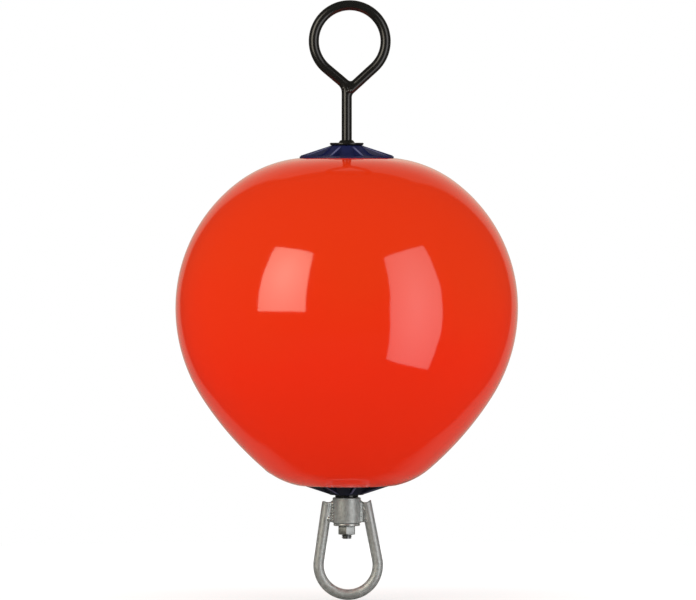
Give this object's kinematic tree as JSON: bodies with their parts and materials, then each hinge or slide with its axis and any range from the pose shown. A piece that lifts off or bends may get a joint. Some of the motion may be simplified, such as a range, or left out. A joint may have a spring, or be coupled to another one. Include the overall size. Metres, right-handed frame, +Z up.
{
  "type": "mooring buoy",
  "caption": "Inflated pear-shaped mooring float on a coated steel rod, with ribbed end hubs, a welded ring eye on top and a galvanised swivel eye below.",
  "frame": {"origin": "on the rod's axis, at the float's widest section, taken as its waterline in service", "axes": "+Z up along the rod to the ring eye, +Y away from the viewer, ring eye and swivel eye at rest in the XZ plane"},
  "size_m": [0.3999, 0.4, 0.7008],
  "materials": {
    "float_skin": "glossy orange-red soft PVC skin",
    "valve_rubber": "black rubber plug",
    "hub_plastic": "moulded navy blue plastic, semi-gloss",
    "coated_steel": "black dipped coating, semi-gloss",
    "galvanised_steel": "hot-dip galvanised, uneven dull grey",
    "plated_steel": "bright zinc plate"
  },
  "bodies": {
    "buoy": {"float": "float_skin", "valve_plug": "valve_rubber", "top_hub": "hub_plastic", "bottom_hub": "hub_plastic", "eye_rod": "coated_steel", "stop_plate": "coated_steel", "thrust_collar": "coated_steel", "retaining_washer": "galvanised_steel", "hex_nut": "plated_steel"},
    "swivel": {"swivel_bush": "galvanised_steel", "swivel_bow": "galvanised_steel", "swivel_welds": "galvanised_steel"}
  },
  "joints": [
    {"name": "swivel_turn", "type": "hinge", "parent": "buoy", "child": "swivel", "pos_m": [0, 0, -0.25], "axis": [0, 0, 1], "continuous": true}
  ]
}
